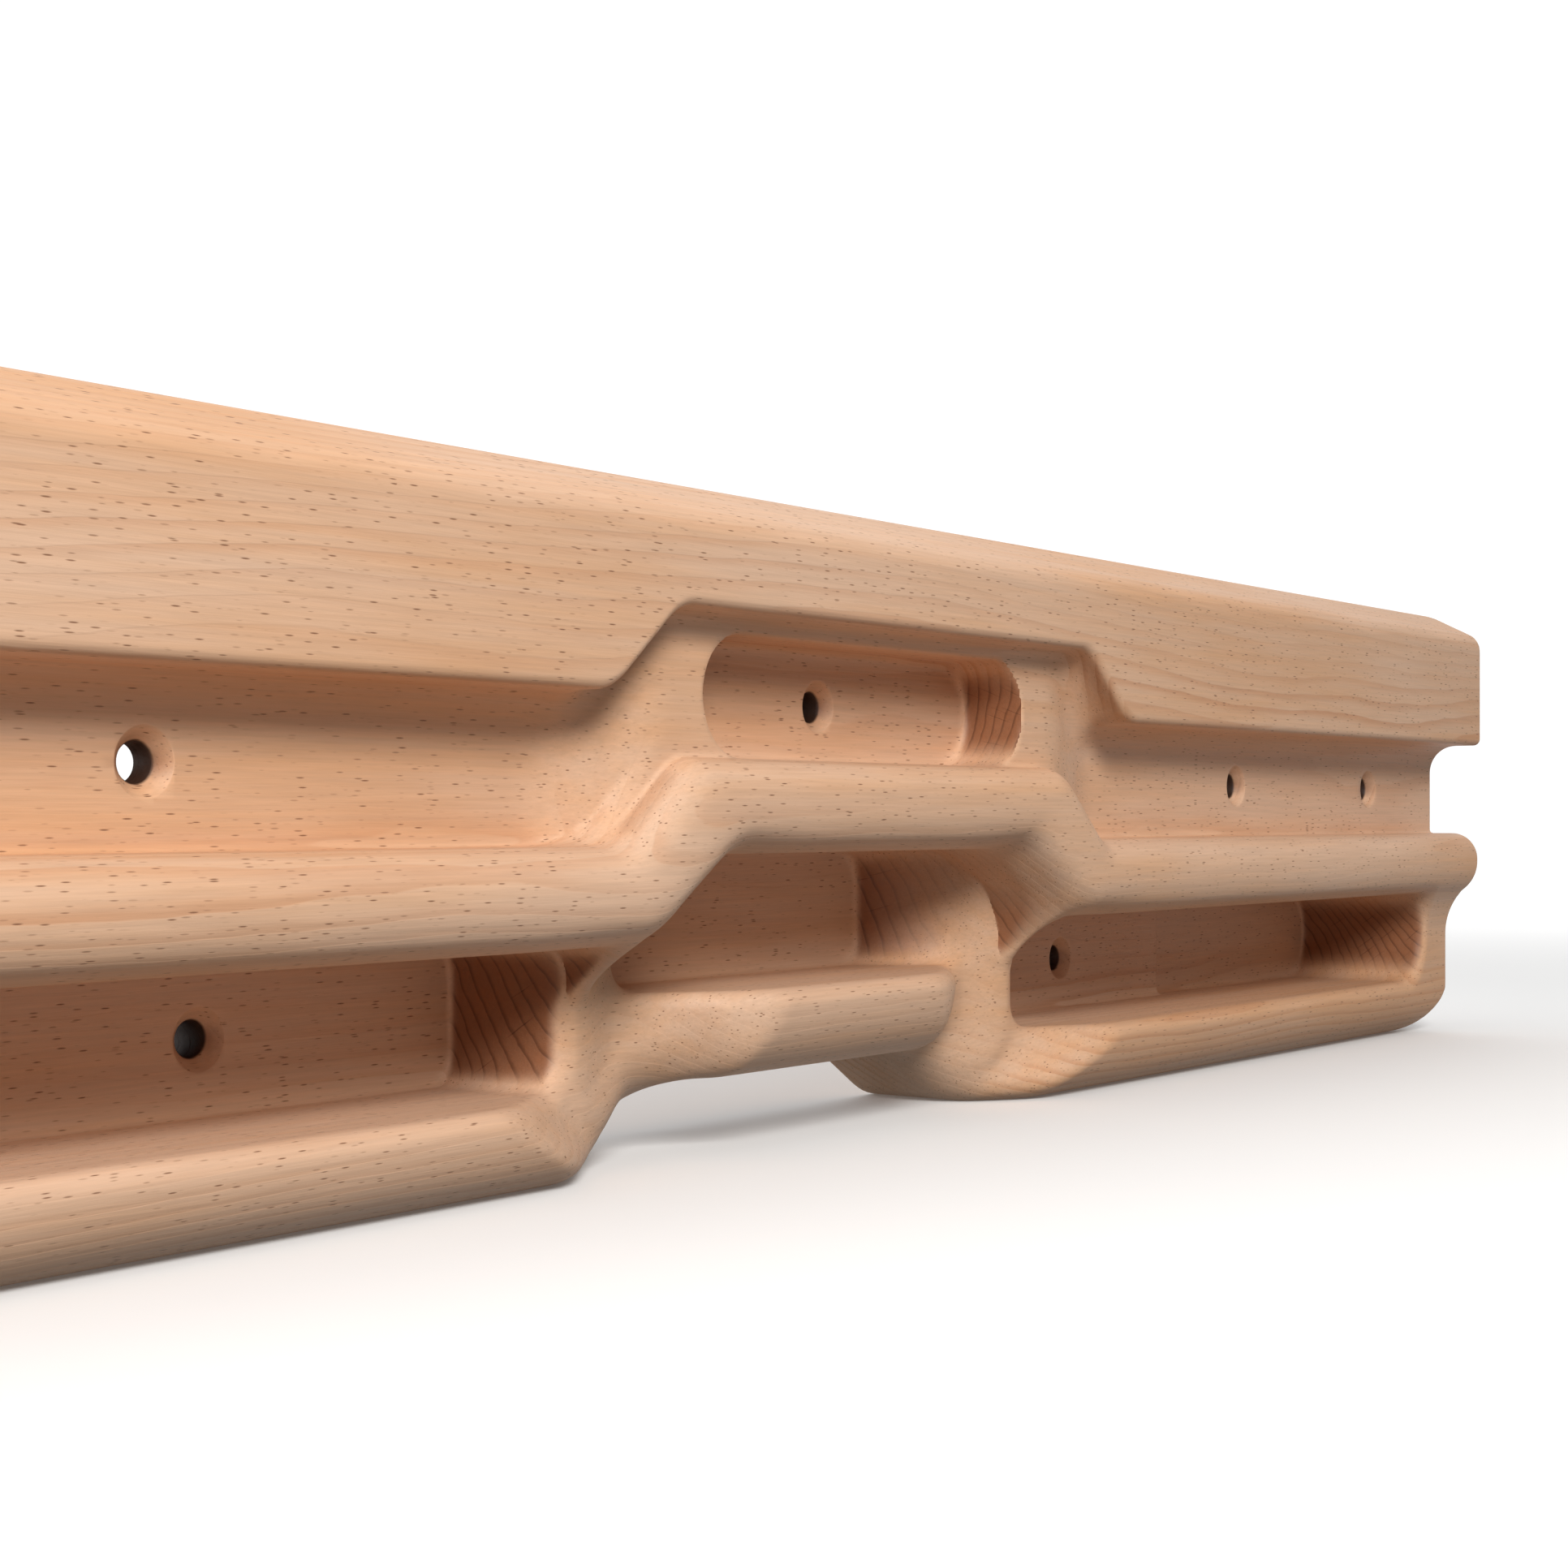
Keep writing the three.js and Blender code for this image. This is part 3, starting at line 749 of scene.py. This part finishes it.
class Value:
    """A socket's output, with Python's arithmetic on it."""

    def __init__(self, graph, socket):
        self.graph = graph
        self.socket = socket

    def out(self, name):
        """Another output of the same node."""
        return Value(self.graph, self.socket.node.outputs[name])

    def __add__(self, other):
        return self.graph.math("ADD", self, other)

    def __sub__(self, other):
        return self.graph.math("SUBTRACT", self, other)

    def __rsub__(self, other):
        return self.graph.math("SUBTRACT", other, self)

    def __mul__(self, other):
        return self.graph.math("MULTIPLY", self, other)

    def __truediv__(self, other):
        return self.graph.math("DIVIDE", self, other)

    __radd__ = __add__
    __rmul__ = __mul__


class Graph:
    """A node tree that nodes are added to by type, settings and inputs."""

    def __init__(self, tree):
        self.tree = tree
        tree.nodes.clear()

    def node(self, kind, settings, inputs):
        """Adds a node, sets it, and then gives its sockets their values or links."""
        node = self.tree.nodes.new(kind)
        for name, setting in settings.items():
            setattr(node, name, setting)
        for name, value in inputs.items():
            socket = node.inputs[name]
            if isinstance(value, Value):
                self.tree.links.new(value.socket, socket)
            else:
                socket.default_value = value
        shown = [socket for socket in node.outputs if socket.enabled]
        return Value(self, shown[0]) if shown else None

    def math(self, operation, *values):
        return self.node("ShaderNodeMath", {"operation": operation}, dict(enumerate(values)))

    def vector(self, operation, *values):
        return self.node("ShaderNodeVectorMath", {"operation": operation}, dict(enumerate(values)))

    def noise(self, place, scale, detail=2.0, roughness=0.5):
        """Noise around 0, from about -0.5 to 0.5."""
        level = self.node(
            "ShaderNodeTexNoise",
            {"noise_dimensions": "3D"},
            {"Vector": self.vector("MULTIPLY", place, scale), "Scale": 1.0, "Detail": detail,
             "Roughness": roughness},
        )
        return level - 0.5

    def voronoi(self, parts, scales):
        """Cells of a 3-D Voronoi pattern at a place given by its three parts, each with its scale."""
        scaled = [part * scale for part, scale in zip(parts, scales)]
        place = self.node("ShaderNodeCombineXYZ", {}, dict(enumerate(scaled)))
        settings = {"voronoi_dimensions": "3D", "feature": "F1"}
        return self.node("ShaderNodeTexVoronoi", settings, {"Vector": place, "Scale": 1.0})

    def smooth(self, value, low, high, start=0.0, end=1.0):
        """Maps low..high onto start..end with soft ends."""
        return self.node(
            "ShaderNodeMapRange",
            {"interpolation_type": "SMOOTHSTEP"},
            {"Value": value, 1: low, 2: high, 3: start, 4: end},
        )

    def mix(self, share, first, second, blend="MIX"):
        """A colour between two colours."""
        node = self.tree.nodes.new("ShaderNodeMix")
        node.data_type = "RGBA"
        node.blend_type = blend
        node.clamp_factor = True
        for socket, value in ((node.inputs[0], share), (node.inputs[6], first), (node.inputs[7], second)):
            if isinstance(value, Value):
                self.tree.links.new(value.socket, socket)
            else:
                socket.default_value = value
        return Value(self, node.outputs[2])


def rgba(rgb):
    """A colour with full alpha, as a socket takes it."""
    return (*rgb, 1.0)


# Beech. A scale is in repeats per metre along x, y and z, or for the rays along x, round the pith and out
# from it. Sizes and distances are in metres, and the bore's painted shade is in millimetres past its radius

WAVE_SCALE, WAVE_SIZE = (3.2, 11.0, 11.0), 0.020
RIPPLE_SCALE, RIPPLE_SIZE = (14.0, 70.0, 70.0), 0.0030
RING_RISE, THIN_RING_RISE, RING_FALL = (0.40, 0.92), (0.66, 0.92), (0.93, 1.0)
RING_PATCH_SCALE, RING_PATCH = (2.2, 34.0, 34.0), (-0.08, 0.24, 0.08, 1.0)
END_GRAIN = (0.5, 0.94)
FLECK_SCALE, FLECK_EDGE = (230.0, 1600.0, 1600.0), (0.10, 0.27)
FLECK_DEPTH = (0.15, 0.95, 0.12, 1.0)
RAY_SCALE, RAY_EDGE = (40.0, 105.0, 40.0), (0.06, 0.20)
RAY_BEND_SCALE, RAY_BEND_SIZE = (60.0, 40.0, 40.0), 0.02
FIBRE_SCALE = (45.0, 1500.0, 1500.0)
STREAK_SCALE = (9.0, 260.0, 260.0)
BROAD_SCALE, BROAD_RANGE, BROAD_STREAK = (5.0, 22.0, 22.0), (-0.24, 0.30), 0.45
RING_TINT, END_RING_TINT, END_RAY_TINT, FLECK_TINT = 0.55, 0.65, 0.7, 0.9
FIBRE_TONE, STREAK_TONE, FIBRE_GLOSS = 0.34, 0.16, 0.2
FIBRE_HEIGHT, FLECK_HEIGHT, RING_HEIGHT, RAY_HEIGHT = 0.6, 0.5, 0.3, 0.5
BUMP_STRENGTH, BUMP_DISTANCE = 0.25, 0.0004
WOOD_IOR = 1.45
BORE_SHADE_WITHIN, BORE_SHADE_FADE = 0.1, 0.5


def bore_shade_share(g, x, z, pockets):
    """Where painted shade goes: 1 on the walls of the screw holes' bores, 0 elsewhere."""
    q = pockets
    share = 0.0
    for across, up in (
        (0, q.finger_middle),
        (q.channel_screw_inner, q.channel_screw_height),
        (q.channel_screw_outer, q.channel_screw_height),
        (q.pocket_screw, q.pocket_screw_height),
    ):
        over = g.math("ABSOLUTE", x) - across * MM
        above = z - up * MM
        from_axis = g.math("SQRT", over * over + above * above)
        outside = g.smooth(from_axis, (q.bore + BORE_SHADE_WITHIN) * MM, (q.bore + BORE_SHADE_FADE) * MM)
        share = share + (1 - outside)
    return share


def beech_material(b, plank, pockets):
    """Steamed beech as a solid texture: growth rings round a pith, ray flecks and fine fibres along X."""
    material = bpy.data.materials.new("beech")
    material.use_nodes = True
    g = Graph(material.node_tree)
    place = g.node("ShaderNodeTexCoord", {}, {}).out("Object")
    parts = g.node("ShaderNodeSeparateXYZ", {}, {"Vector": place})
    x, y, z = parts.out("X"), parts.out("Y"), parts.out("Z")

    # The rings' radius, waved along the trunk and a little across it
    wave = g.noise(place, WAVE_SCALE) * WAVE_SIZE
    ripple = g.noise(place, RIPPLE_SCALE, 3.0, 0.6) * RIPPLE_SIZE
    from_pith_y = y + (plank.depth / 2 * MM + b.pith_depth * MM)
    from_pith_z = z - b.pith_height * MM
    radius = g.math("SQRT", from_pith_y * from_pith_y + from_pith_z * from_pith_z)
    ring_place = (radius + wave + ripple) / (b.ring_spacing * MM)
    ring_part = g.math("FRACT", ring_place)
    fall = 1 - g.smooth(ring_part, *RING_FALL)
    line = g.smooth(ring_part, *RING_RISE) * fall
    thin_line = g.smooth(ring_part, *THIN_RING_RISE) * fall
    strength = g.smooth(g.noise(place, RING_PATCH_SCALE), *RING_PATCH)

    # How far the surface cuts across the fibres
    normal = g.node("ShaderNodeNewGeometry", {}, {}).out("Normal")
    facing = g.node("ShaderNodeSeparateXYZ", {}, {"Vector": normal})
    end_grain = g.smooth(g.math("ABSOLUTE", facing.out("X")), *END_GRAIN)

    # Ray flecks: dashes along X on the long faces, long thin lines across the rings in the end grain
    angle = g.math("ARCTAN2", from_pith_z, from_pith_y)
    dash = g.voronoi((x, y, z), FLECK_SCALE)
    dash_colour = g.node("ShaderNodeSeparateColor", {}, {"Color": dash.out("Color")})
    fleck_depth = g.smooth(dash_colour.out("Red"), *FLECK_DEPTH)
    fleck = (1 - g.smooth(dash.out("Distance"), *FLECK_EDGE)) * fleck_depth
    bend = g.noise(place, RAY_BEND_SCALE) * RAY_BEND_SIZE
    ray = g.voronoi((x, angle + bend, radius), RAY_SCALE)
    ray_line = (1 - g.smooth(ray.out("Distance"), *RAY_EDGE)) * end_grain

    # Fine fibres and broad colour
    fibre = g.noise(place, FIBRE_SCALE, 3.0, 0.65)
    streak = g.noise(place, STREAK_SCALE, 3.0, 0.6)
    broad = g.noise(place, BROAD_SCALE, 3.0, 0.6)
    base = g.mix(g.smooth(broad + streak * BROAD_STREAK, *BROAD_RANGE), rgba(b.pale), rgba(b.warm))
    base = g.mix(line * strength * RING_TINT, base, rgba(b.ring))
    # End grain: its own darker tone, deepened into painted shade by the end tint
    end_grain_with_painted_shade = g.mix(1.0, base, rgba(b.end), "MULTIPLY")
    end_lines = thin_line * END_RING_TINT + ray_line * END_RAY_TINT
    end_grain_with_painted_shade = g.mix(end_lines, end_grain_with_painted_shade, rgba(b.end_ring))
    base = g.mix(end_grain, base, end_grain_with_painted_shade)
    base = g.mix(fleck * FLECK_TINT * (1 - end_grain), base, rgba(b.fleck))
    # Painted shade: the near-black bore colour on the screw holes' walls
    base = g.mix(bore_shade_share(g, x, z, pockets), base, rgba(b.bore))
    tone = 1.0 + fibre * FIBRE_TONE + streak * STREAK_TONE
    shade = g.node("ShaderNodeCombineColor", {}, {"Red": tone, "Green": tone, "Blue": tone})
    base = g.mix(1.0, base, shade, "MULTIPLY")

    relief = fibre * FIBRE_HEIGHT - fleck * FLECK_HEIGHT - line * RING_HEIGHT - ray_line * RAY_HEIGHT
    bump = g.node(
        "ShaderNodeBump", {}, {"Strength": BUMP_STRENGTH, "Distance": BUMP_DISTANCE, "Height": relief}
    )
    roughness = b.roughness + fibre * FIBRE_GLOSS
    surface = g.node(
        "ShaderNodeBsdfPrincipled",
        {},
        {"Base Color": base, "Roughness": roughness, "Normal": bump, "IOR": WOOD_IOR},
    )
    g.node("ShaderNodeOutputMaterial", {}, {"Surface": surface})
    return material


class HANGBOARD_OT_board(bpy.types.Operator):
    """Mills the board out of one plank and finishes it in beech"""

    bl_idname = "hangboard.board"
    bl_label = "Mill the board"

    def execute(self, context):
        settings = context.scene.hangboard
        plank, pockets = in_mm(settings.plank), in_mm(settings.pockets)
        board = linked("milled_board", board_mesh(plank, pockets))
        drilled(board, linked("drill", screw_cutters(plank, pockets)))
        board.data.name = "milled_board"
        board.data.shade_smooth()
        board.data.set_sharp_from_angle(angle=CREASE_ANGLE)
        board.data.materials.clear()
        board.data.materials.append(beech_material(in_mm(settings.beech), plank, pockets))
        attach(board, "root")
        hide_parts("board")
        return {"FINISHED"}


# The stage. An edge is the span of a direction's y or z over which one light gives way to the next

FLOOR_REACH = 12.0
FLOOR_ROUGHNESS = 0.9
BACKDROP_EDGE = (-0.25, 0.15)
CEILING_EDGE = (0.3, 0.9)
GROUND_EDGE = (-0.2, -0.03)
KEY_PLACE = (-0.85, -0.92, 0.74)
KEY_TARGET = (-0.1, 0, 0.06)
KEY_SIZE = (0.5, 0.4)
KEY_COLOUR = (1.0, 0.985, 0.96)
SENSOR = 36
NEAR_CLIP = 0.01


def area_light(name, place, target, size, power, tint):
    """A rectangular lamp that points from its place at a target."""
    light = bpy.data.lights.new(name, "AREA")
    light.shape = "RECTANGLE"
    light.size, light.size_y = size
    light.energy = power
    light.color = tint
    lamp = linked(name, light)
    lamp.location = place
    lamp.rotation_euler = (Vector(target) - Vector(place)).to_track_quat("-Z", "Y").to_euler()
    return lamp


class HANGBOARD_OT_stage(bpy.types.Operator):
    """Sets the pale floor, the soft light and the camera"""

    bl_idname = "hangboard.stage"
    bl_label = "Set the stage"

    def execute(self, context):
        s = context.scene.hangboard.stage
        floor_mesh = bpy.data.meshes.new("floor")
        corners = [(-1, -1), (1, -1), (1, 1), (-1, 1)]
        points = [(x * FLOOR_REACH, y * FLOOR_REACH, 0) for x, y in corners]
        floor_mesh.from_pydata(points, [], [(0, 1, 2, 3)])
        floor = linked("floor", floor_mesh)
        paint = bpy.data.materials.new("floor")
        paint.use_nodes = True
        g = Graph(paint.node_tree)
        away = g.vector("LENGTH", g.node("ShaderNodeTexCoord", {}, {}).out("Object")).out("Value")
        share = g.smooth(away, s.glow_start, s.glow_end, s.floor_glow_near, 1.0)
        surface = g.node(
            "ShaderNodeBsdfPrincipled",
            {},
            {"Base Color": rgba(s.floor), "Roughness": FLOOR_ROUGHNESS, "Emission Strength": s.floor_glow,
             "Emission Color": g.mix(share, (0, 0, 0, 1), rgba(s.backdrop))},
        )
        g.node("ShaderNodeOutputMaterial", {}, {"Surface": surface})
        floor_mesh.materials.append(paint)
        floor.visible_diffuse = False

        world = bpy.data.worlds.new("studio")
        world.use_nodes = True
        g = Graph(world.node_tree)
        towards = g.node("ShaderNodeTexCoord", {}, {}).out("Generated")
        parts = g.node("ShaderNodeSeparateXYZ", {}, {"Vector": towards})
        behind = g.smooth(parts.out("Y"), *BACKDROP_EDGE, s.front_light, s.back_light)
        above = g.smooth(parts.out("Z"), *CEILING_EDGE)
        below = 1 - g.smooth(parts.out("Z"), *GROUND_EDGE)
        level = (behind * (1 - above) + above * s.top_light) * (1 - below) + below * s.floor_light
        glow = g.node("ShaderNodeBackground", {}, {"Color": rgba(s.backdrop), "Strength": level})
        g.node("ShaderNodeOutputWorld", {}, {"Surface": glow})
        context.scene.world = world

        area_light("key", KEY_PLACE, KEY_TARGET, KEY_SIZE, s.key_power, KEY_COLOUR)

        lens = bpy.data.cameras.new("camera")
        lens.lens = s.lens
        lens.sensor_width = SENSOR
        lens.shift_y = (s.horizon - PHOTO_SIDE / 2) / PHOTO_SIDE
        lens.clip_start = NEAR_CLIP
        camera = linked("camera", lens)
        camera.location = s.camera_place
        camera.rotation_euler = (math.pi / 2, 0, s.camera_heading - math.pi / 2)
        context.scene.camera = camera
        context.scene.view_settings.view_transform = "Standard"
        return {"FINISHED"}


class HANGBOARD_PG_settings(bpy.types.PropertyGroup):
    """Everything that a user can change"""

    plank: PointerProperty(name="Plank", description="The milled plank", type=HANGBOARD_PG_plank)
    pockets: PointerProperty(name="Pockets", description="Pockets and holes", type=HANGBOARD_PG_pockets)
    beech: PointerProperty(name="Beech", description="The wood", type=HANGBOARD_PG_beech)
    stage: PointerProperty(name="Stage", description="Studio and camera", type=HANGBOARD_PG_stage)


class HANGBOARD_PT_panel(bpy.types.Panel):
    """The hangboard's steps and sizes in the sidebar"""

    bl_idname = "HANGBOARD_PT_panel"
    bl_label = "Hangboard"
    bl_space_type = "VIEW_3D"
    bl_region_type = "UI"
    bl_category = "Hangboard"

    def draw(self, context):
        settings = context.scene.hangboard
        for operator, group in OPERATORS:
            self.layout.operator(operator.bl_idname)
            for part in group:
                values = getattr(settings, part)
                box = self.layout.box()
                for name in values.__annotations__:
                    box.prop(values, name)


OPERATORS = (
    (HANGBOARD_OT_board, ("plank", "pockets", "beech")),
    (HANGBOARD_OT_stage, ("stage",)),
)
CLASSES = (
    HANGBOARD_PG_plank,
    HANGBOARD_PG_pockets,
    HANGBOARD_PG_beech,
    HANGBOARD_PG_stage,
    HANGBOARD_PG_settings,
    HANGBOARD_OT_board,
    HANGBOARD_OT_stage,
    HANGBOARD_PT_panel,
)


def register():
    for cls in CLASSES:
        bpy.utils.register_class(cls)
    bpy.types.Scene.hangboard = PointerProperty(type=HANGBOARD_PG_settings)


def unregister():
    del bpy.types.Scene.hangboard
    for cls in reversed(CLASSES):
        bpy.utils.unregister_class(cls)


def main():
    register()
    bpy.ops.hangboard.board()
    bpy.ops.hangboard.stage()


if __name__ == "__main__":
    main()
